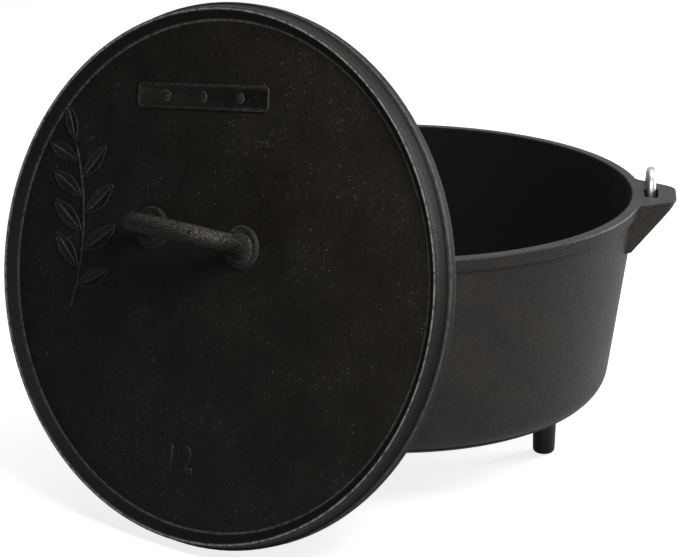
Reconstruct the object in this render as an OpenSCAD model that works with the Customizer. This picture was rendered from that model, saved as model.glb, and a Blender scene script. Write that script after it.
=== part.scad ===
// Cast iron dutch oven for camp fires: a three legged pot, a lid with a coal rim and a wire bail.
// The pot's axis is Z, the feet stand on z = 0 and the ears lie along X.
// The lid stands on the floor and leans on the rim; the bail hangs down behind the pot.

/* [Pot] */
// Outside diameter of the rim
rim_d = 320; // [260:1:380]
// Height of the pot from its outside bottom to the rim
pot_h = 134; // [100:1:200]
// Thickness of the wall and the bottom
wall_t = 4.5; // [3:0.1:7]
// Lean of the wall from upright, in degrees
wall_lean = 7.4; // [2:0.1:10]
// Outside radius of the corner between wall and bottom
corner_r = 20; // [12:1:32]
// Height of the collar under the rim
collar_h = 9; // [6:0.5:16]
// How far the collar stands out from the wall
collar_out = 4; // [2:0.5:7]
// Rounding of the cast edges
edge_r = 1.2; // [0.6:0.1:2]

/* [Legs] */
// Height of the legs, from the floor to the pot's bottom
leg_h = 47; // [25:1:70]
// Diameter of a leg at its top
leg_top_d = 16.5; // [10:0.5:20]
// Diameter of a leg near the floor
leg_foot_d = 14.5; // [8:0.5:16]
// Distance of each leg from the pot's axis
leg_ring = 102; // [70:1:110]

/* [Ears] */
// How far the ears reach beyond the rim
ear_reach = 21; // [20:0.5:30]
// Half width of the ear's tip before its corners
ear_tip_half = 9; // [6:0.5:14]
// Corner radius of the ear's tip
ear_corner_r = 13; // [8:0.5:16]
// Slope of the ear's sides, in degrees
ear_side_slope = 33; // [20:1:40]
// Radius of the hollow where the ear's lip meets the collar
ear_root_r = 4; // [2:0.5:20]
// Thickness of the lip around the ear's top
ear_lip_t = 1.8; // [1.2:0.1:3]
// How far the lip stands out from the gusset below it
ear_lip_out = 1; // [0.5:0.1:2]
// Height of the bar that the bail hooks around
bar_h = 7; // [5:0.5:10]
// Width of the bail slot, across the rim
slot_w = 9.2; // [7.5:0.1:10]
// Metal left between the rim and the bail slot
slot_in = 0.7; // [0.3:0.1:2]
// Reach of the bail slot toward the front, from the ear's middle
slot_front = 11; // [8:0.5:14]
// Reach of the bail slot toward the back
slot_back = 13; // [12:0.5:15]
// Height of the gusset, from the rim down the wall
gusset_h = 30; // [26:1:45]
// Height of the gusset's blunt nose at the ear's tip, from the rim down
gusset_nose = 2.8; // [2:0.1:6]

/* [Lid] */
// How far the lid overhangs the rim
lid_overhang = 3; // [1:0.5:6]
// Thickness of the lid's plate
plate_t = 4.5; // [3:0.1:7]
// Depth of the lid's edge below the plate's top
lid_edge_h = 11.4; // [8:0.1:16]
// Depth of the flange's top below the plate's top
flange_drop = 4.4; // [2:0.1:6]
// Width of the flange outside the coal rim
flange_w = 1.4; // [1:0.1:4]
// Width of the groove between the flange and the coal rim
groove_w = 0.8; // [0.4:0.1:1]
// Height of the coal rim above the plate
coal_rim_h = 5.8; // [4:0.1:16]
// Width of the coal rim's round crest
coal_rim_w = 2.4; // [1.5:0.1:4]
// Distance of the crest's middle from the lid's edge
coal_rim_in = 4.4; // [3:0.1:8]
// Radius of the hollow between the coal rim and the plate
coal_foot_r = 3; // [1:0.5:6]
// Depth of the locating lip below the lid's seat
lip_h = 4; // [2:0.5:8]
// Thickness of the locating lip
lip_t = 4; // [3:0.5:6]
// Clearance between the locating lip and the pot's mouth
lip_gap = 1.8; // [1:0.1:3]

/* [Lid handle] */
// Distance between the handle's two feet
loop_span = 68; // [50:1:100]
// Length of the handle from the plate to its bar's middle line
loop_h = 33; // [26:1:50]
// Lean of the handle from square, in degrees
loop_lean = 9.5; // [0:0.5:20]
// Diameter of the handle's bar
loop_d = 12; // [8:0.5:15]
// Radius of the bend at the handle's corners
loop_bend_r = 20; // [12:1:24]
// Diameter of the handle's flared feet
loop_foot_d = 20; // [16:0.5:24]
// Diameter of the round pads under the feet
pad_d = 25; // [20:1:32]
// Height of the pads
pad_h = 1.8; // [1:0.1:5]
// Handle's middle to the right of the lid's middle
loop_x = -15; // [-20:1:20]
// Handle's middle above the lid's middle
loop_y = 21.5; // [-30:0.5:30]

/* [Lid at rest] */
// Lean of the lid from upright, in degrees
lid_lean = 13.8; // [8:0.1:24]
// Turn of the lid about the vertical, in degrees
lid_turn = -28.6; // [-50:0.5:0]
// Shift of the lid along its own width
lid_shift = -16.2; // [-40:0.1:20]

/* [Bail] */
// Diameter of the bail's wire
wire_d = 6.2; // [4:0.1:7]
// Straight length between each hook and the bail's arc
arm_len = 3; // [1:0.5:20]
// Length of the hooked end around the ear's back bar, in degrees
hook_sweep = 235; // [200:1:250]
// Outside diameter of the coiled grip
grip_d = 14.5; // [12:0.5:20]
// Length of the coiled grip along the arc
grip_len = 112; // [80:1:150]

/* [Hidden] */
$fn = 96;

seat_gap = 0.3;   // between pieces that rest on each other
turn_gap = 0.4;   // around the hooks in the ears
hook_side_gap = 0.8;   // beside the hooks, under the bars
grip_gap = 0.15;  // between the bail's wire and the coil around it

rim_r = rim_d / 2;
rim_z = leg_h + pot_h;
wall_top_z = rim_z - collar_h;
wall_top_r = rim_r - collar_out;
corner_z = leg_h + corner_r;
corner_x = wall_top_r - (wall_top_z - corner_z) * tan(wall_lean) - corner_r / cos(wall_lean);
mouth_r = wall_top_r + collar_h * tan(wall_lean) - wall_t / cos(wall_lean);

// Ear, in plan: a tip with round corners, then straight sides that run to the collar
ear_x = rim_r + ear_reach;
tip_c = [ear_x - ear_corner_r, ear_tip_half];
side_n = [sin(ear_side_slope), cos(ear_side_slope)];
side_d = [cos(ear_side_slope), -sin(ear_side_slope)];
side_c = tip_c * side_n + ear_corner_r;
slot_x = rim_r + slot_in + slot_w / 2;
gusset_x = ear_x - ear_lip_out;
gusset_root_x = wall_top_r - (gusset_h - collar_h) * tan(wall_lean);

// The bail's hooks turn about the middle of the bar behind each slot
wire_r = wire_d / 2;
bar_edge = (side_c - (slot_x - wire_r) * side_n[0]) / side_n[1];
pivot_y = (slot_back + bar_edge) / 2;
pivot_z = rim_z - bar_h / 2;
hook_r = norm([(bar_edge - slot_back) / 2, bar_h / 2]) + turn_gap + wire_r;

// The bail hangs until its grip lies against the wall
reach = slot_x + arm_len;
wall_dist = grip_d / 2 + seat_gap + (wall_top_r - pivot_y) * cos(wall_lean)
    + (pivot_z - wall_top_z) * sin(wall_lean);
bail_drop = wall_lean + atan2(hook_r, reach) + acos(wall_dist / norm([reach, hook_r]));

// Lid, in its own frame: its plate's top is z = 0 and its seat is z = -lid_edge_h
lid_r = rim_r + lid_overhang;
crest_r = lid_r - coal_rim_in;
crest_z = coal_rim_h - coal_rim_w / 2;
face_r = crest_r - crest_z - coal_rim_w * sin(45) - coal_foot_r * tan(22.5);
lip_r = mouth_r - lip_gap;
lid_plane = rim_r + seat_gap / cos(lid_lean) + plate_t / cos(lid_lean);
lid_z = lid_r * cos(lid_lean) + lid_edge_h * sin(lid_lean) + seat_gap;
lid_out = lid_plane + (rim_z - lid_z) * tan(lid_lean);

// Points of an arc about c, from angle a to angle b, both included
function arc(c, r, a, b, n = 10) =
    [for (i = [0:n]) c + r * [cos(a + (b - a) * i / n), sin(a + (b - a) * i / n)]];

// Outside of the pot, as one turned solid: round bottom corner, leaning wall, collar and rim
module bowl() {
    rotate_extrude($fn = 180) polygon(concat(
        [[0, leg_h]],
        arc([corner_x, corner_z], corner_r, -90, -wall_lean),
        [[wall_top_r, wall_top_z], [rim_r - edge_r, wall_top_z + edge_r]],
        arc([rim_r - edge_r, rim_z - edge_r], edge_r, 0, 90, 4),
        [[0, rim_z]]
    ));
}

// Inside of the pot, with a rounded edge at the mouth
module hollow() {
    rotate_extrude($fn = 180) polygon(concat(
        [[0, leg_h + wall_t]],
        arc([corner_x, corner_z], corner_r - wall_t, -90, -wall_lean),
        arc([mouth_r + edge_r, rim_z - edge_r], edge_r, 180 - wall_lean, 90, 4),
        [[mouth_r + edge_r, rim_z + 1], [0, rim_z + 1]]
    ));
}

// Back half of an ear's tip, moved in by an inset
function tip_points(inset) = concat(
    [[ear_x - inset, 0]], arc(tip_c, ear_corner_r - inset, 0, 90 - ear_side_slope, 8));

// Outline that is the same on both sides of the X axis, from the points of its back half
module both_sides(back) {
    polygon(concat(back, [for (i = [len(back) - 1:-1:1]) [back[i][0], -back[i][1]]]));
}

// The lip's straight sides end in a hollow root on the collar
module lip_outline() {
    n_c = side_c + ear_root_r;
    root_c = side_n * n_c + side_d * sqrt(pow(rim_r + ear_root_r, 2) - n_c * n_c);
    both_sides(concat(
        tip_points(0),
        arc(root_c, ear_root_r, 270 - ear_side_slope, 180 + atan2(root_c[1], root_c[0]), 8),
        [[gusset_root_x, root_c[1] - ear_root_r]]
    ));
}

// The gusset's straight sides run on into the wall
module gusset_outline() {
    inside_x = corner_x + corner_r;
    both_sides(concat(
        tip_points(ear_lip_out),
        [[inside_x, (side_c - ear_lip_out - inside_x * side_n[0]) / side_n[1]]]
    ));
}

// Wedge below the lip, between the wall and a slope that runs down from the nose
module gusset() {
    nose_z = rim_z - gusset_nose;
    root_z = rim_z - gusset_h;
    top_z = rim_z - ear_lip_t / 2;
    intersection() {
        translate([0, 0, root_z]) linear_extrude(top_z - root_z) gusset_outline();
        rotate([90, 0, 0]) linear_extrude(rim_d, center = true)
            polygon([[rim_r / 2, top_z], [gusset_x, top_z], [gusset_x, nose_z],
                     [gusset_root_x, root_z], [rim_r / 2, root_z]]);
    }
}

// One ear: lip and gusset, cut by the slot and by the room for the hook behind and under its bar
module ear() {
    back_c = slot_back - slot_w / 2;
    front_c = slot_w / 2 - slot_front;
    room_w = wire_d + 2 * hook_side_gap;
    difference() {
        union() {
            translate([0, 0, rim_z - ear_lip_t]) linear_extrude(ear_lip_t) lip_outline();
            gusset();
        }
        for (y = [front_c, back_c]) translate([slot_x, y, leg_h]) cylinder(d = slot_w, h = 2 * pot_h);
        translate([slot_x - slot_w / 2, front_c, leg_h]) cube([slot_w, back_c - front_c, 2 * pot_h]);
        translate([slot_x - room_w / 2, back_c, leg_h]) cube([room_w, rim_r / 2, pot_h - bar_h]);
    }
}

// One leg: round foot, slight taper and a flared root under the bottom
module leg() {
    foot_r = leg_foot_d / 2;
    top_r = leg_top_d / 2;
    root = 6;
    rotate_extrude($fn = 48) polygon(concat(
        [[0, 0]],
        arc([foot_r - 3, 3], 3, -90, 0, 6),
        [[top_r, leg_h - root]],
        arc([top_r + root, leg_h - root], root, 180, 100, 6),
        [[top_r + root, leg_h + wall_t / 2], [0, leg_h + wall_t / 2]]
    ));
}

module pot() {
    color([0.10, 0.095, 0.09]) difference() {
        union() {
            bowl();
            for (side = [0, 1]) mirror([side, 0, 0]) ear();
            for (i = [0:2]) rotate(i * 120) translate([leg_ring, 0, 0]) leg();
        }
        hollow();
    }
}

// Lid plate: a flange with a grooved top, the coal rim on it and a locating lip below
module lid_plate() {
    lip_in = lip_r - lip_t;
    groove_x = lid_r - flange_w;
    rotate_extrude($fn = 180) polygon(concat(
        [[0, -plate_t], [lip_in - lip_t / 2, -plate_t], [lip_in, -plate_t - lip_t / 2],
         [lip_in, -lid_edge_h - lip_h], [lip_r - edge_r, -lid_edge_h - lip_h],
         [lip_r, -lid_edge_h - lip_h + edge_r], [lip_r, -lid_edge_h], [lid_r - edge_r, -lid_edge_h],
         [lid_r, -lid_edge_h + edge_r], [lid_r, -flange_drop - edge_r / 2],
         [lid_r - edge_r / 3, -flange_drop], [groove_x + groove_w, -flange_drop],
         [groove_x + groove_w / 2, -flange_drop - groove_w / 2], [groove_x, -flange_drop]],
        arc([crest_r, crest_z], coal_rim_w / 2, 12, 135, 8),
        arc([face_r, coal_foot_r], coal_foot_r, -45, -90, 5),
        [[0, 0]]
    ));
}

// Loop handle: two flared feet on round pads, joined by a bar with bent corners
module loop_handle() {
    half = loop_span / 2;
    bar_r = loop_d / 2;
    bend_z = loop_h - loop_bend_r;
    flare = (loop_foot_d - loop_d) / 2;
    for (side = [-1, 1]) translate([side * half, 0, 0]) {
        rotate_extrude($fn = 64) polygon(concat(
            [[0, -plate_t / 2], [pad_d / 2, -plate_t / 2]],
            arc([pad_d / 2 - pad_h / 2, pad_h / 2], pad_h / 2, 0, 90, 4),
            [[0, pad_h]]
        ));
        rotate([-loop_lean, 0, 0]) rotate_extrude($fn = 64) polygon(concat(
            [[0, -plate_t / 3], [bar_r + flare, -plate_t / 3]],
            [for (turn = [0:15:90])
                [bar_r + flare * (1 - sin(turn)), pad_h + (bend_z - pad_h) * (1 - cos(turn))]],
            [[0, bend_z]]
        ));
    }
    rotate([-loop_lean, 0, 0]) {
        for (side = [0, 1]) mirror([side, 0, 0])
            translate([half - loop_bend_r, 0, bend_z]) rotate([90, 0, 0])
                rotate_extrude(angle = 90) translate([loop_bend_r, 0]) circle(d = loop_d, $fn = 48);
        translate([loop_bend_r - half, 0, loop_h]) rotate([0, 90, 0])
            cylinder(d = loop_d, h = loop_span - 2 * loop_bend_r, $fn = 48);
    }
}

module lid() {
    color([0.09, 0.085, 0.08])
        rotate(lid_turn) translate([lid_shift, -lid_out, lid_z]) rotate([90 - lid_lean, 0, 0]) {
            lid_plate();
            translate([loop_x, loop_y, 0]) loop_handle();
        }
}

// Where the bail's own frame lies: its arc is the plane z = hook_r, its reach is +Y
module bail_place() {
    translate([0, pivot_y, pivot_z]) rotate([-bail_drop, 0, 0]) children();
}

module bail() {
    color([0.78, 0.78, 0.76]) bail_place() {
        for (side = [-1, 1]) translate([side * slot_x, 0, 0]) {
            rotate([90, 0, 90]) rotate(90) rotate_extrude(angle = hook_sweep, $fn = 64)
                translate([hook_r, 0]) circle(r = wire_r, $fn = 32);
            rotate([hook_sweep + 90, 0, 0]) translate([0, hook_r, 0]) sphere(r = wire_r, $fn = 32);
            translate([0, 0, hook_r]) rotate([-90, 0, 0]) cylinder(r = wire_r, h = arm_len, $fn = 32);
        }
        translate([0, arm_len, hook_r]) rotate_extrude(angle = 180, $fn = 180)
            translate([slot_x, 0]) circle(r = wire_r, $fn = 32);
    }
}

// Close wound coil around the middle of the arc
module bail_grip() {
    sweep = grip_len / slot_x * 180 / PI;
    color([0.72, 0.72, 0.70]) bail_place()
        translate([0, arm_len, hook_r]) rotate(90 - sweep / 2) rotate_extrude(angle = sweep, $fn = 180)
            translate([slot_x, 0]) difference() {
                circle(d = grip_d, $fn = 32);
                circle(r = wire_r + grip_gap, $fn = 32);
            }
}

pot();
lid();
bail();
bail_grip();
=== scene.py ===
import math

import bmesh
import bpy
from mathutils import Matrix, Vector


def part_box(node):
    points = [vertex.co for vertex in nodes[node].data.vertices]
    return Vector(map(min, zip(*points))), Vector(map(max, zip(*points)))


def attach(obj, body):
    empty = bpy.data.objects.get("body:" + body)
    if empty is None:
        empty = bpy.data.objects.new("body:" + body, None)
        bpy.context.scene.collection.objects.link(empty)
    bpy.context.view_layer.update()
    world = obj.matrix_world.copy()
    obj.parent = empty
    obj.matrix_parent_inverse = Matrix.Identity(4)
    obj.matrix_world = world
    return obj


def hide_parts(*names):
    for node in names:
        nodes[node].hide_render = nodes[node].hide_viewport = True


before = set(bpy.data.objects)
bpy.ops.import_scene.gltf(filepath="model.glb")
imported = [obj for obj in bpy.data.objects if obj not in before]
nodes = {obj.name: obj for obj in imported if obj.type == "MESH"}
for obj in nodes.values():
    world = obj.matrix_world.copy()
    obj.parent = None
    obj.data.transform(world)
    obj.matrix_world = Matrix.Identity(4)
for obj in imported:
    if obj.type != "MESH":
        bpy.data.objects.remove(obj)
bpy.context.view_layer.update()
print("frame loaded:", ", ".join(sorted(nodes)))

shot = {
    "place": (0.12046, -1.3768, 0.5754),
    "aim": (-0.10635, 0.94328, -0.31457),
    "lens": 117.9,
    "sensor": 36.0,
}

studio = {
    "floorSize": 24.0,
    "floorColour": (0.50, 0.50, 0.495),
    "floorGlow": 0.82,              # what the camera sees on top, so that the floor is near white
    "floorShine": 0.17,             # the share of it that polished metal mirrors
    "ambient": 0.13,                # even light from all round
    "darkSide": (-0.95, -0.30, -0.05),  # where the studio is dark
    "darkLevel": 0.05,
    "roomShine": 0.68,              # the share of the white room that polished metal mirrors
    "lamps": (
        {"name": "topBox", "place": (0.25, 0.35, 1.6), "size": (1.4, 1.0), "power": 9.0},
        {"name": "rightBox", "place": (1.5, 0.9, 0.6), "size": (0.8, 1.1), "power": 28.0},
        {"name": "frontBox", "place": (0.20, -0.50, 0.56), "size": (0.24, 0.24), "power": 3.4},
    ),
}


def addCamera():
    data = bpy.data.cameras.new("camera")
    data.lens = shot["lens"]
    data.sensor_width = shot["sensor"]
    camera = bpy.data.objects.new("camera", data)
    camera.location = shot["place"]
    camera.rotation_euler = Vector(shot["aim"]).to_track_quat("-Z", "Y").to_euler()
    bpy.context.collection.objects.link(camera)
    bpy.context.scene.camera = camera


def addLamps():
    for lamp in studio["lamps"]:
        data = bpy.data.lights.new(lamp["name"], "AREA")
        data.shape = "RECTANGLE"
        data.size, data.size_y = lamp["size"]
        data.energy = lamp["power"]
        light = bpy.data.objects.new(lamp["name"], data)
        light.location = lamp["place"]
        toMiddle = Vector((0, 0, 0.12)) - light.location
        light.rotation_euler = toMiddle.to_track_quat("-Z", "Y").to_euler()
        light.visible_camera = False
        bpy.context.collection.objects.link(light)


addCamera()
addLamps()
bpy.context.scene.view_settings.view_transform = "Standard"
print("camera and lamps placed")


def addNode(tree, kind, **settings):
    node = tree.nodes.new(kind)
    for name, value in settings.items():
        setattr(node, name, value)
    return node


def fill(tree, node, **inputs):
    # sets a socket to a number or colour, or links it to another node's output
    for name, value in inputs.items():
        socket = node.inputs[name.replace("_", " ")]
        if isinstance(value, bpy.types.NodeSocket):
            tree.links.new(value, socket)
        else:
            socket.default_value = value
    return node


def mathNode(tree, operation, *values, clamp=False):
    node = addNode(tree, "ShaderNodeMath", operation=operation, use_clamp=clamp)
    for socket, value in zip(node.inputs, values):
        if isinstance(value, bpy.types.NodeSocket):
            tree.links.new(value, socket)
        else:
            socket.default_value = value
    return node.outputs[0]


def mixColour(tree, factor, first, second):
    node = addNode(tree, "ShaderNodeMix", data_type="RGBA")
    for socket, value in zip((node.inputs[0], node.inputs[6], node.inputs[7]), (factor, first, second)):
        if isinstance(value, bpy.types.NodeSocket):
            tree.links.new(value, socket)
        elif isinstance(value, tuple):
            socket.default_value = (*value, 1.0)
        else:
            socket.default_value = value
    return node.outputs[2]


def spread(tree, value, low, high, toLow, toHigh):
    node = addNode(tree, "ShaderNodeMapRange")
    fill(tree, node, Value=value, From_Min=low, From_Max=high, To_Min=toLow, To_Max=toHigh)
    return node.outputs[0]


def newGroup(name, inputs, outputs):
    tree = bpy.data.node_groups.new(name, "ShaderNodeTree")
    for label, kind, value in inputs:
        socket = tree.interface.new_socket(label, in_out="INPUT", socket_type=kind)
        if value is not None:
            socket.default_value = value
    for label, kind in outputs:
        tree.interface.new_socket(label, in_out="OUTPUT", socket_type=kind)
    entry = tree.nodes.new("NodeGroupInput")
    leave = tree.nodes.new("NodeGroupOutput")
    return tree, entry.outputs, leave


def useGroup(tree, group, **inputs):
    node = addNode(tree, "ShaderNodeGroup", node_tree=group)
    return fill(tree, node, **inputs).outputs


sandCasting = {
    "grainDepth": -0.9, "lumpDepth": 1.3, "waveDepth": 2.2,     # shares of the grain's height
    "peaks": (0.50, 0.22), "mottle": (0.32, 0.68),              # where each starts and is full
    # glints: painted highlights on a few single grains, as if they caught the light
    "glintWaves": (0.44, 0.64), "glintRarity": (0.9994, 0.965), "glintSize": (0.40, 0.20),
    "toneLumps": (0.3, 0.7), "tone": (0.72, 1.28),              # how much the lumps shade the colour
}


def makeCastGrain(look):
    # pebbled sand casting: fine grains, coarser lumps and a slow unevenness, with a few grains lit as
    # painted glints
    tree, given, leave = newGroup(
        "castGrain",
        [("Vector", "NodeSocketVector", None), ("Grain", "NodeSocketFloat", 900.0),
         ("Lumps", "NodeSocketFloat", 260.0), ("Waves", "NodeSocketFloat", 38.0)],
        [("Height", "NodeSocketFloat"), ("Mottle", "NodeSocketFloat"), ("Peaks", "NodeSocketFloat"),
         ("Glints", "NodeSocketFloat"), ("Tone", "NodeSocketFloat")],
    )
    grains = addNode(tree, "ShaderNodeTexVoronoi", feature="SMOOTH_F1")
    fill(tree, grains, Vector=given["Vector"], Scale=given["Grain"], Smoothness=0.6)
    lumps = addNode(tree, "ShaderNodeTexNoise")
    fill(tree, lumps, Vector=given["Vector"], Scale=given["Lumps"], Detail=3.0, Roughness=0.6)
    waves = addNode(tree, "ShaderNodeTexNoise")
    fill(tree, waves, Vector=given["Vector"], Scale=given["Waves"], Detail=4.0, Roughness=0.55)
    fine = mathNode(tree, "MULTIPLY", grains.outputs["Distance"], look["grainDepth"])
    middle = mathNode(tree, "MULTIPLY", lumps.outputs[0], look["lumpDepth"])
    slow = mathNode(tree, "MULTIPLY", waves.outputs[0], look["waveDepth"])
    height = mathNode(tree, "ADD", mathNode(tree, "ADD", fine, middle), slow)
    peaks = spread(tree, grains.outputs["Distance"], *look["peaks"], 0.0, 1.0)
    mottle = spread(tree, waves.outputs[0], *look["mottle"], 0.0, 1.0)
    # painted glints: a few grain cells picked to show bright
    glintCells = addNode(tree, "ShaderNodeTexVoronoi", feature="F1")
    fill(tree, glintCells, Vector=given["Vector"], Scale=given["Grain"])
    chance = addNode(tree, "ShaderNodeSeparateColor")
    fill(tree, chance, Color=glintCells.outputs["Color"])
    rarity = spread(tree, waves.outputs[0], *look["glintWaves"], *look["glintRarity"])
    rare = mathNode(tree, "GREATER_THAN", chance.outputs[0], rarity)
    small = spread(tree, glintCells.outputs["Distance"], *look["glintSize"], 0.0, 1.0)
    glints = mathNode(tree, "MULTIPLY", rare, small)
    tone = spread(tree, lumps.outputs[0], *look["toneLumps"], *look["tone"])
    fill(tree, leave, Height=height, Mottle=mottle, Peaks=peaks, Glints=glints, Tone=tone)
    return tree


# edge wear, which also stands as a painted highlight along the edges
edgeRubbingAndHighlight = {
    "spots": 1300.0, "spotRange": (0.4, 0.62), "leastSpots": 0.25,
    "turned": (0.01, 0.12),     # how far a normal turns where wear starts and is full
    "radius": 0.0011,
}


def makeEdgeWearAndHighlight(look):
    # where a rounded normal leaves the true one, the surface turns: an edge that hands and hooks rub,
    # lightened also as a painted highlight along it
    tree, given, leave = newGroup(
        "edgeWearAndHighlight",
        [("Vector", "NodeSocketVector", None), ("Radius", "NodeSocketFloat", look["radius"]),
         ("Amount", "NodeSocketFloat", 1.0)],
        [("Wear", "NodeSocketFloat"), ("Normal", "NodeSocketVector")],
    )
    soft = addNode(tree, "ShaderNodeBevel", samples=6)
    fill(tree, soft, Radius=given["Radius"])
    true = addNode(tree, "ShaderNodeNewGeometry")
    dot = addNode(tree, "ShaderNodeVectorMath", operation="DOT_PRODUCT")
    tree.links.new(soft.outputs[0], dot.inputs[0])
    tree.links.new(true.outputs["Normal"], dot.inputs[1])
    turned = mathNode(tree, "SUBTRACT", 1.0, dot.outputs["Value"])
    broken = addNode(tree, "ShaderNodeTexNoise")
    fill(tree, broken, Vector=given["Vector"], Scale=look["spots"], Detail=2.0)
    patchy = spread(tree, broken.outputs[0], *look["spotRange"], look["leastSpots"], 1.0)
    wearAndHighlight = mathNode(tree, "MULTIPLY", spread(tree, turned, *look["turned"], 0.0, 1.0), patchy)
    wearAndHighlight = mathNode(tree, "MULTIPLY", wearAndHighlight, given["Amount"], clamp=True)
    fill(tree, leave, Wear=wearAndHighlight, Normal=soft.outputs[0])
    return tree


castGrain = makeCastGrain(sandCasting)
edgeWearAndHighlight = makeEdgeWearAndHighlight(edgeRubbingAndHighlight)
print("shared effects made")


def findLidPlace():
    # the lid's own axes, right, up and out of its flat face, about the middle of its disc
    mesh = nodes["lid"].data
    areas = {}
    for face in mesh.polygons:
        if face.normal.z > 0.05:
            way = tuple(round(part, 2) for part in face.normal)
            areas[way] = areas.get(way, 0.0) + face.area
    rough = Vector(max(areas, key=areas.get)).normalized()
    flat = [face for face in mesh.polygons if face.normal.dot(rough) > 0.9998]
    out = sum((face.normal * face.area for face in flat), Vector()).normalized()
    right = Vector((0, 0, 1)).cross(out).normalized()
    up = out.cross(right)
    level = max((face.center.dot(out), face.area) for face in flat if face.area > 1e-5)[0]
    middle = out * level
    for way in (right, up):
        along = [corner.co.dot(way) for corner in mesh.vertices]
        middle += way * (min(along) + max(along)) / 2
    turn = Matrix((right, up, out)).transposed().to_4x4()
    return Matrix.Translation(middle) @ turn


lidPlace = findLidPlace()
print("lid's middle:", [round(part, 4) for part in lidPlace.translation])

potIron = {
    "name": "potIron", "base": (0.0165, 0.0140, 0.0120), "dusty": (0.024, 0.0205, 0.0175),
    "wornAndHighlight": (0.12, 0.115, 0.108), "roughness": (0.38, 0.50), "specular": 0.27,
    "grain": 1100.0, "lumps": 330.0, "waves": 34.0, "bump": 0.00024, "wearAndHighlight": 0.6,
    "glint": 0.7, "darkeningRoughness": 0.85,
    "darkening": (0.0022, 0.0020, 0.0018),                               # the inside, darkened as painted shade
    "insideRadius": 0.1525, "insideTop": 0.172, "insideLean": 0.13, "insideFloor": 0.0513,
}

lidIron = {
    "name": "lidIron", "base": (0.0115, 0.0095, 0.0076), "dusty": (0.0165, 0.0140, 0.0115),
    "wornAndHighlight": (0.36, 0.345, 0.325), "roughness": (0.38, 0.50), "specular": 0.16,
    "grain": 1150.0, "lumps": 340.0, "waves": 30.0, "bump": 0.00024, "wearAndHighlight": 0.35,
    "glint": 0.65, "darkeningRoughness": 0.62,
    # each painted highlight line: its radius, its width, its strength, and the heights where it starts
    # and is full
    "crestLine": (0.1584, 0.0009, 1.0, (0.0035, 0.0055)),         # on the coal rim
    "edgeLine": (0.1626, 0.0007, 0.28, (-0.0062, -0.0052)),       # round the lid
    "innerLine": (0.1520, 0.0009, 0.28, (-0.0015, -0.0005)),      # inside the coal rim
    "lineTone": (0.85, 1.05), "leastLine": 0.35,
    "darkening": (0.0050, 0.0043, 0.0036),
    # darker on the coal rim's inner slope and all round outside its crest
    "darkeningOutside": (0.1596, 0.1604), "darkeningInside": (0.1526, 0.1536, 0.1568, 0.1578),
    "handleMiddle": (-0.015, 0.0265, 0.018), "handleReach": 0.045, "handleGrain": 1.7,
    # painted highlight on the handle's upper faces, from its left foot to its right
    "handleHighlight": (0.08, 0.36),                                   # from its left foot to its right
    "handleFrom": (0.0004, 0.0012), "handleUp": (-0.35, 0.55),    # heights, and facing up
    # painted highlight on the tops of the raised figures
    "reliefHighlight": 0.14, "reliefFrom": (0.0005, 0.0009), "reliefTo": (0.149, 0.150),
}


def startMaterial(look):
    material = bpy.data.materials.new(look["name"])
    material.use_nodes = True
    tree = material.node_tree
    place = addNode(tree, "ShaderNodeTexCoord").outputs["Object"]
    return material, tree, tree.nodes["Principled BSDF"], place


def castSkin(tree, shader, place, look, darkening, paintedHighlights=None, highlightLines=None, coarse=None):
    # the cast surface of one piece: darkening darkens it (painted shade inside the pot), painted
    # highlights light its grains and lines, edge wear lightens its edges partly as a painted highlight,
    # painted glints light single grains, and coarse raises the grains
    grain = useGroup(tree, castGrain, Vector=place, Grain=look["grain"], Lumps=look["lumps"],
                     Waves=look["waves"])
    edge = useGroup(tree, edgeWearAndHighlight, Vector=place, Radius=edgeRubbingAndHighlight["radius"], Amount=look["wearAndHighlight"])
    wearAndHighlight, height = edge["Wear"], grain["Height"]
    if coarse:
        wearAndHighlight = mathNode(tree, "MULTIPLY", wearAndHighlight, mathNode(tree, "SUBTRACT", 1.0, coarse, clamp=True))
        raised = spread(tree, coarse, 0.0, 1.0, 1.0, look["handleGrain"])
        height = mathNode(tree, "MULTIPLY", height, raised)
    if paintedHighlights:
        speckled = mathNode(tree, "MULTIPLY", paintedHighlights, grain["Peaks"])
        wearAndHighlight = mathNode(tree, "MAXIMUM", wearAndHighlight, speckled)
    if highlightLines:
        whole = spread(tree, grain["Tone"], *look["lineTone"], look["leastLine"], 1.0)
        wearAndHighlight = mathNode(tree, "MAXIMUM", wearAndHighlight, mathNode(tree, "MULTIPLY", highlightLines, whole))
    notDarkened = mathNode(tree, "SUBTRACT", 1.0, darkening, clamp=True)
    # painted glints, kept off the darkened parts
    glint = mathNode(tree, "MULTIPLY", grain["Glints"], look["glint"])
    wearAndHighlight = mathNode(tree, "MAXIMUM", wearAndHighlight, mathNode(tree, "MULTIPLY", glint, notDarkened))
    skin = mixColour(tree, grain["Mottle"], look["base"], look["dusty"])
    tone = addNode(tree, "ShaderNodeVectorMath", operation="SCALE")
    tree.links.new(skin, tone.inputs[0])
    fill(tree, tone, Scale=grain["Tone"])
    skin = mixColour(tree, darkening, tone.outputs["Vector"], look["darkening"])
    # edge wear, painted highlights and painted glints all lighten toward the same colour
    colour = mixColour(tree, wearAndHighlight, skin, look["wornAndHighlight"])
    roughness = spread(tree, grain["Mottle"], 0.0, 1.0, *look["roughness"])
    roughness = spread(tree, darkening, 0.0, 1.0, roughness, look["darkeningRoughness"])
    bump = addNode(tree, "ShaderNodeBump")
    fill(tree, bump, Height=height, Distance=look["bump"], Normal=edge["Normal"])
    fill(tree, shader, Base_Color=colour, Roughness=roughness, Normal=bump.outputs[0])
    shader.inputs["Specular IOR Level"].default_value = look["specular"]


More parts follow.
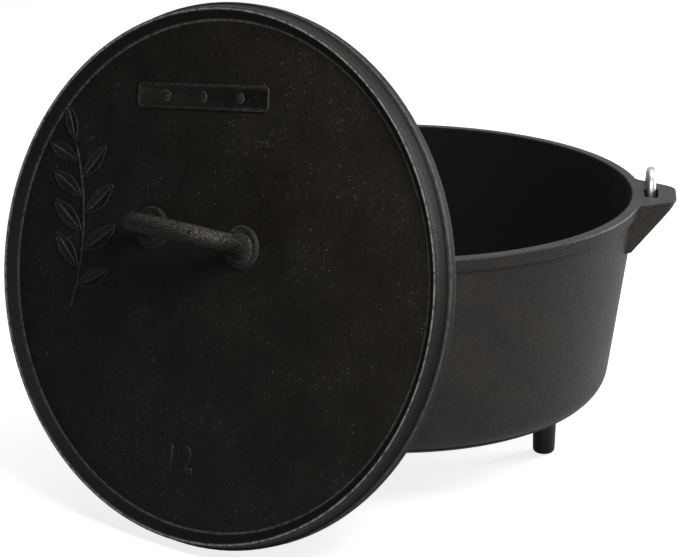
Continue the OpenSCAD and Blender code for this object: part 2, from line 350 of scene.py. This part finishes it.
def radiusAndHeight(tree, place):
    # distance from the Z axis of the given place, and height along it
    parts = addNode(tree, "ShaderNodeSeparateXYZ")
    fill(tree, parts, Vector=place)
    x, y, z = parts.outputs
    squares = mathNode(tree, "ADD", mathNode(tree, "MULTIPLY", x, x), mathNode(tree, "MULTIPLY", y, y))
    return mathNode(tree, "SQRT", squares), z


def makePotIron(look):
    material, tree, shader, place = startMaterial(look)
    radius, z = radiusAndHeight(tree, place)
    # painted shade: the inside of the pot, below its rim and above its floor, is darkened
    below = mathNode(tree, "SUBTRACT", look["insideTop"], z)
    wall = mathNode(tree, "MULTIPLY_ADD", below, -look["insideLean"], look["insideRadius"])
    inside = mathNode(tree, "LESS_THAN", radius, wall)
    inside = mathNode(tree, "MULTIPLY", inside, mathNode(tree, "GREATER_THAN", z, look["insideFloor"]))
    castSkin(tree, shader, place, look, inside)
    return material


def highlightLine(tree, radius, z, line):
    # a painted highlight line: strongest on its circle, and gone at its width and below its height
    middle, width, strength, heights = line
    off = mathNode(tree, "ABSOLUTE", mathNode(tree, "SUBTRACT", radius, middle))
    ring = spread(tree, off, 0.0, width, 1.0, 0.0)
    return mathNode(tree, "MULTIPLY", ring, spread(tree, z, *heights, 0.0, strength))


def makeLidIron(look):
    material, tree, shader, place = startMaterial(look)
    lidSpace = addNode(tree, "ShaderNodeMapping", vector_type="TEXTURE")
    fill(tree, lidSpace, Vector=place, Location=lidPlace.translation, Rotation=lidPlace.to_euler())
    spot = lidSpace.outputs[0]
    radius, z = radiusAndHeight(tree, spot)
    # painted highlight lines on the crest, round the lid's edge and inside the coal rim
    crest = highlightLine(tree, radius, z, look["crestLine"])
    edge = highlightLine(tree, radius, z, look["edgeLine"])
    inner = highlightLine(tree, radius, z, look["innerLine"])
    highlightLines = mathNode(tree, "MAXIMUM", crest, mathNode(tree, "MAXIMUM", inner, edge))
    away = addNode(tree, "ShaderNodeVectorMath", operation="DISTANCE")
    tree.links.new(spot, away.inputs[0])
    away.inputs[1].default_value = look["handleMiddle"]
    reach = look["handleReach"]
    full = reach * 0.8
    handle = spread(tree, away.outputs["Value"], full, reach, 1.0, 0.0)
    handle = mathNode(tree, "MULTIPLY", handle, spread(tree, z, *look["handleFrom"], 0.0, 1.0))
    parts = addNode(tree, "ShaderNodeSeparateXYZ")
    fill(tree, parts, Vector=spot)
    middle = look["handleMiddle"][0]
    # painted highlight on the handle's upward faces, stronger toward its right foot
    handleTopHighlight = spread(tree, parts.outputs[0], middle - full, middle + full, *look["handleHighlight"])
    facing = addNode(tree, "ShaderNodeSeparateXYZ")
    fill(tree, facing, Vector=addNode(tree, "ShaderNodeNewGeometry").outputs["Normal"])
    handleTopHighlight = mathNode(tree, "MULTIPLY", handleTopHighlight, spread(tree, facing.outputs[2], *look["handleUp"], 0.0, 1.0))
    plain = mathNode(tree, "SUBTRACT", 1.0, handle, clamp=True)
    # painted highlight on the tops of the raised figures
    raised = spread(tree, z, *look["reliefFrom"], 0.0, look["reliefHighlight"])
    relief = mathNode(tree, "MULTIPLY", plain, raised)
    relief = mathNode(tree, "MULTIPLY", relief, spread(tree, radius, *look["reliefTo"], 1.0, 0.0))
    paintedHighlights = mathNode(tree, "MAXIMUM", relief, mathNode(tree, "MULTIPLY", handle, handleTopHighlight))
    # darker on the coal rim's inner slope and outside its crest
    first, second, third, fourth = look["darkeningInside"]
    slope = mathNode(tree, "MULTIPLY", spread(tree, radius, first, second, 0.0, 1.0),
                     spread(tree, radius, third, fourth, 1.0, 0.0))
    darkening = mathNode(tree, "MAXIMUM", slope, spread(tree, radius, *look["darkeningOutside"], 0.0, 1.0))
    castSkin(tree, shader, place, look, darkening, paintedHighlights, highlightLines, handle)
    return material


zincWire = {
    "name": "zincWire", "bright": (0.74, 0.74, 0.73), "dull": (0.52, 0.52, 0.51),
    "roughness": (0.26, 0.46), "spots": 900.0, "patches": 120.0, "bump": 0.00002,
}


def makeWire(look):
    material, tree, shader, place = startMaterial(look)
    spots = addNode(tree, "ShaderNodeTexNoise")
    fill(tree, spots, Vector=place, Scale=look["spots"], Detail=3.0)
    patches = addNode(tree, "ShaderNodeTexNoise")
    fill(tree, patches, Vector=place, Scale=look["patches"], Detail=2.0)
    dullness = spread(tree, patches.outputs[0], 0.35, 0.7, 0.0, 1.0)
    colour = mixColour(tree, dullness, look["bright"], look["dull"])
    roughness = spread(tree, dullness, 0.0, 1.0, *look["roughness"])
    bump = addNode(tree, "ShaderNodeBump")
    fill(tree, bump, Height=spots.outputs[0], Distance=look["bump"])
    fill(tree, shader, Base_Color=colour, Roughness=roughness, Normal=bump.outputs[0])
    shader.inputs["Metallic"].default_value = 1.0
    return material


def dress(piece, material):
    piece.data.materials.clear()
    piece.data.materials.append(material)


ironOfPot = makePotIron(potIron)
ironOfLid = makeLidIron(lidIron)
wire = makeWire(zincWire)
for name, material in (("pot", ironOfPot), ("lid", ironOfLid), ("bail", wire), ("bail_grip", wire)):
    dress(nodes[name], material)
print("finishes made")


def meshPiece(name, shape, material, body):
    # closes the shape's seams, turns its faces outwards and hands it to a body
    bmesh.ops.remove_doubles(shape, verts=shape.verts, dist=1e-6)
    bmesh.ops.recalc_face_normals(shape, faces=shape.faces)
    mesh = bpy.data.meshes.new(name)
    shape.to_mesh(mesh)
    shape.free()
    for face in mesh.polygons:
        face.use_smooth = True
    piece = bpy.data.objects.new(name, mesh)
    bpy.context.collection.objects.link(piece)
    dress(piece, material)
    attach(piece, body)
    return piece


gripCoil = {
    "wire": 0.0024,          # diameter of the coil's wire
    "pitch": 0.0029,         # from one turn to the next
    "stepsInTurn": 20,
    "sides": 8,
    "tightTurns": 1.5,       # at each end the coil closes on the bail
}


def findGripArc():
    # the bail's arc inside the grip, read from the grip's flat end toward +X
    mesh = nodes["bail_grip"].data
    cap = [face for face in mesh.polygons if face.normal.x > 0.8]
    tangent = sum((face.normal * face.area for face in cap), Vector()).normalized()
    corners = {index for face in cap for index in face.vertices}
    spots = [mesh.vertices[index].co for index in corners]
    end = sum(spots, Vector()) / len(spots)
    outward = -Vector((0, tangent.y, tangent.z)).normalized()
    halfAngle = math.acos(tangent.x)
    radius = end.x / math.sin(halfAngle)
    centre = Vector((0, end.y, end.z)) - outward * radius * math.cos(halfAngle)
    thick = 2 * max((spot - end).length for spot in spots)
    return centre, radius, outward, halfAngle, thick


def makeGripCoil(look):
    centre, radius, outward, halfAngle, thick = findGripArc()
    across = Vector((1, 0, 0)).cross(outward)
    coilRadius = thick / 2 - look["wire"] / 2
    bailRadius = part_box("bail")[1][0] - radius
    length = 2 * halfAngle * radius - look["wire"]
    turns = length / look["pitch"]
    steps = round(turns * look["stepsInTurn"])
    shape = bmesh.new()
    ring = bmesh.ops.create_circle(shape, cap_ends=True, segments=look["sides"], radius=look["wire"] / 2,
                                   matrix=Matrix.Translation((coilRadius, 0, -length / 2))
                                   @ Matrix.Rotation(math.pi / 2, 4, "X"))
    seed = ring["verts"] + list({edge for corner in ring["verts"] for edge in corner.link_edges})
    seed += list({face for corner in ring["verts"] for face in corner.link_faces})
    bmesh.ops.spin(shape, geom=seed, cent=(0, 0, 0), axis=(0, 0, 1), dvec=(0, 0, length / steps),
                   angle=2 * math.pi * turns, steps=steps)
    tightLength = look["tightTurns"] * look["pitch"]
    tight = (bailRadius + look["wire"] / 2 + 0.0001) / coilRadius
    for corner in shape.verts:
        x, y, z = corner.co
        fromEnd = min(1.0, max(0.0, (length / 2 - abs(z)) / tightLength))
        ease = fromEnd * fromEnd * (3 - 2 * fromEnd)
        reach = math.hypot(x, y)
        closer = (reach - coilRadius * (1 - tight) * (1 - ease)) / reach
        angle = z / radius
        way = outward * math.cos(angle) + Vector((1, 0, 0)) * math.sin(angle)
        corner.co = centre + way * (radius + x * closer) + across * (y * closer)
    coil = meshPiece("gripCoil", shape, wire, "bail")
    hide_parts("bail_grip")


makeGripCoil(gripCoil)
print("coil wound on the bail")


lidRelief = {
    "sink": 0.0004,          # how far each figure stands in the plate
    "turn": 6.0,             # degrees that the whole design is turned on the lid
    "number": {"text": "12", "size": 0.023, "bold": 0.0005, "bevel": 0.0003, "height": 0.0009,
               "place": (-0.007, -0.113)},
    "plaque": {"place": (-0.0235, 0.1045), "length": 0.098, "width": 0.0155, "rail": 0.0019,
               "height": 0.0010, "corner": 0.003, "lip": 0.0003, "sunk": 0.0011,
               "stud": 0.0032, "studs": (-0.28, 0.0, 0.28), "studFlat": 0.35},
    "sprig": {"place": (-0.102, 0.012), "stemRadius": 0.16, "stemAngle": 38.0, "stemWire": 0.0011,
              "pairs": 4, "splay": 52.0, "smaller": 0.35, "widest": 0.45, "reach": 0.56,
              "leaf": {"length": 0.030, "width": 0.0125, "height": 0.0010, "taper": (1.1, 1.5),
                       "border": 0.0005, "lip": 0.0004, "rib": 0.0014}},
}


def onLid(place):
    # from a figure's own axes to its place on the lid's face
    along = Matrix.Rotation(math.radians(lidRelief["turn"]), 4, "Z")
    spot = Matrix.Translation((*place, -lidRelief["sink"]))
    return lidPlace @ spot @ along


def makeNumber(look):
    text = bpy.data.curves.new("sizeNumber", "FONT")
    text.body = look["text"]
    text.size = look["size"]
    text.align_x = "CENTER"
    text.align_y = "CENTER"
    text.extrude = (look["height"] + lidRelief["sink"]) / 2
    text.offset = look["bold"]
    text.bevel_depth = look["bevel"]
    text.bevel_resolution = 1
    text.resolution_u = 6
    holder = bpy.data.objects.new("sizeNumberText", text)
    bpy.context.collection.objects.link(holder)
    graph = bpy.context.evaluated_depsgraph_get()
    written = bpy.data.meshes.new_from_object(holder.evaluated_get(graph))
    bpy.data.objects.remove(holder)
    shape = bmesh.new()
    shape.from_mesh(written)
    bmesh.ops.transform(shape, matrix=onLid(look["place"]), verts=shape.verts)
    meshPiece("sizeNumber", shape, ironOfLid, "lid")


def makePlaque(look):
    # a bare plaque: a raised rail all round it and three low studs
    shape = bmesh.new()
    sheet = bmesh.ops.create_grid(shape, x_segments=1, y_segments=1, size=0.5)
    bmesh.ops.scale(shape, vec=(look["length"], look["width"], 1), verts=sheet["verts"])
    bmesh.ops.bevel(shape, geom=list(shape.verts), offset=look["corner"], segments=4, profile=0.5,
                    affect="VERTICES", material=-1)
    slab = bmesh.ops.extrude_face_region(shape, geom=list(shape.faces))
    lifted = [part for part in slab["geom"] if isinstance(part, bmesh.types.BMVert)]
    height = look["height"] + lidRelief["sink"]
    bmesh.ops.translate(shape, vec=(0, 0, height), verts=lifted)
    bmesh.ops.recalc_face_normals(shape, faces=shape.faces)
    top = [face for face in shape.faces if face.calc_center_median().z > height * 0.9]
    for share, depth in ((0.3, look["lip"]), (0.4, 0.0), (0.4, -look["sunk"])):
        thickness = look["rail"] * share
        bmesh.ops.inset_region(shape, faces=top, thickness=thickness, depth=depth, use_even_offset=True)
    for offset in look["studs"]:
        bmesh.ops.create_uvsphere(shape, u_segments=16, v_segments=8, radius=look["stud"], matrix=
                                  Matrix.Translation((offset * look["length"], 0, height * 0.3))
                                  @ Matrix.Diagonal((1, 1, look["studFlat"], 1)))
    bmesh.ops.transform(shape, matrix=onLid(look["place"]), verts=shape.verts)
    meshPiece("lidPlaque", shape, ironOfLid, "lid")


def addLeaf(shape, look, place):
    # a pointed leaf with a raised border and a rib
    length, height = look["length"], look["height"]
    narrowing, power = look["taper"]
    cut = bmesh.ops.create_circle(shape, cap_ends=True, segments=20, radius=0.5)
    for corner in cut["verts"]:
        corner.co.y *= 1 - narrowing * abs(corner.co.x) ** power
    bmesh.ops.scale(shape, vec=(length, look["width"], 1), verts=cut["verts"])
    face = cut["verts"][0].link_faces[0]
    slab = bmesh.ops.extrude_face_region(shape, geom=[face])["geom"]
    lifted = [part for part in slab if isinstance(part, bmesh.types.BMVert)]
    bmesh.ops.translate(shape, vec=(0, 0, lidRelief["sink"] + height * 0.5), verts=lifted)
    top = [part for part in slab if isinstance(part, bmesh.types.BMFace)]
    made = set(cut["verts"]) | set(lifted)
    touched = {face for corner in made for face in corner.link_faces}
    bmesh.ops.recalc_face_normals(shape, faces=list(touched))
    steps = ((look["border"], height * 0.5), (look["lip"], 0.0), (look["border"], -height * 0.6))
    for thickness, depth in steps:
        rim = bmesh.ops.inset_region(shape, faces=top, thickness=thickness, depth=depth,
                                     use_even_offset=True)
        made |= {corner for face in rim["faces"] for corner in face.verts}
    rib = bmesh.ops.create_uvsphere(shape, u_segments=12, v_segments=6, radius=0.5, matrix=
                                    Matrix.Translation((0, 0, lidRelief["sink"] + height * 0.4))
                                    @ Matrix.Diagonal((length * 0.82, look["rib"], height * 1.2, 1)))
    made |= set(rib["verts"])
    bmesh.ops.transform(shape, matrix=place, verts=list(made))


def makeSprig(look):
    shape = bmesh.new()
    arc, sweep = look["stemRadius"], math.radians(look["stemAngle"])
    start = Matrix.Rotation(-sweep / 2, 4, "Z") @ Matrix.Translation((arc, 0, lidRelief["sink"]))
    ring = bmesh.ops.create_circle(shape, cap_ends=True, segments=8, radius=look["stemWire"],
                                   matrix=start @ Matrix.Rotation(math.pi / 2, 4, "X"))
    seed = ring["verts"] + list({edge for corner in ring["verts"] for edge in corner.link_edges})
    seed += list({face for corner in ring["verts"] for face in corner.link_faces})
    bmesh.ops.spin(shape, geom=seed, cent=(0, 0, 0), axis=(0, 0, 1), angle=sweep, steps=24)
    leaves = look["pairs"] * 2          # and one more at the tip
    for step in range(leaves + 1):
        side = 1 if step % 2 else -1
        share = (step + 1.5) / (leaves + 1.5)
        last = step == leaves
        angle = sweep * (share - 0.5) if not last else sweep / 2
        splay = 0 if last else side * look["splay"]
        size = 1.0 - look["smaller"] * abs(share - look["widest"])
        place = (Matrix.Rotation(angle, 4, "Z") @ Matrix.Translation((arc, 0, 0))
                 @ Matrix.Rotation(math.radians(90 + splay), 4, "Z")
                 @ Matrix.Translation((look["leaf"]["length"] * size * look["reach"], 0, 0))
                 @ Matrix.Scale(size, 4))
        addLeaf(shape, look["leaf"], place)
    centring = Matrix.Translation((-arc, 0, 0))
    bmesh.ops.transform(shape, matrix=onLid(look["place"]) @ centring, verts=shape.verts)
    meshPiece("lidSprig", shape, ironOfLid, "lid")


makeNumber(lidRelief["number"])
makePlaque(lidRelief["plaque"])
makeSprig(lidRelief["sprig"])
print("relief cast on the lid")


def addFloor():
    half = studio["floorSize"] / 2
    mesh = bpy.data.meshes.new("studioFloor")
    sheet = bmesh.new()
    bmesh.ops.create_grid(sheet, x_segments=1, y_segments=1, size=half)
    sheet.to_mesh(mesh)
    sheet.free()
    floor = bpy.data.objects.new("studioFloor", mesh)
    bpy.context.collection.objects.link(floor)
    material = bpy.data.materials.new("studioPaper")
    material.use_nodes = True
    tree = material.node_tree
    shader = tree.nodes["Principled BSDF"]
    shader.inputs["Base Color"].default_value = (*studio["floorColour"], 1.0)
    shader.inputs["Roughness"].default_value = 0.9
    shader.inputs["Specular IOR Level"].default_value = 0.1
    ray = addNode(tree, "ShaderNodeLightPath").outputs
    mirrored = mathNode(tree, "MAXIMUM", ray["Is Glossy Ray"], ray["Is Transmission Ray"])
    mirrored = mathNode(tree, "MULTIPLY", mirrored, studio["floorShine"])
    seen = mathNode(tree, "MAXIMUM", ray["Is Camera Ray"], mirrored)
    seen = mathNode(tree, "MULTIPLY", seen, studio["floorGlow"])
    shader.inputs["Emission Color"].default_value = (1.0, 1.0, 1.0, 1.0)
    tree.links.new(seen, shader.inputs["Emission Strength"])
    dress(floor, material)


def lightWorld():
    world = bpy.data.worlds.new("studio")
    bpy.context.scene.world = world
    world.use_nodes = True
    tree = world.node_tree
    background = tree.nodes["Background"]
    way = addNode(tree, "ShaderNodeTexCoord").outputs["Generated"]
    toward = addNode(tree, "ShaderNodeVectorMath", operation="DOT_PRODUCT")
    tree.links.new(way, toward.inputs[0])
    toward.inputs[1].default_value = studio["darkSide"]
    darkness = spread(tree, toward.outputs["Value"], -0.1, 0.85, 1.0, studio["darkLevel"])
    room = mathNode(tree, "MULTIPLY", darkness, studio["ambient"])
    ray = addNode(tree, "ShaderNodeLightPath").outputs
    mirrored = mathNode(tree, "MAXIMUM", ray["Is Glossy Ray"], ray["Is Transmission Ray"])
    shine = mathNode(tree, "MULTIPLY", darkness, studio["roomShine"])
    mirrored = mathNode(tree, "MULTIPLY", mirrored, shine)
    seen = mathNode(tree, "MAXIMUM", ray["Is Camera Ray"], mirrored)
    strength = mathNode(tree, "MAXIMUM", seen, room)
    fill(tree, background, Color=(1.0, 1.0, 1.0, 1.0), Strength=strength)


addFloor()
lightWorld()
print("floor and studio made")
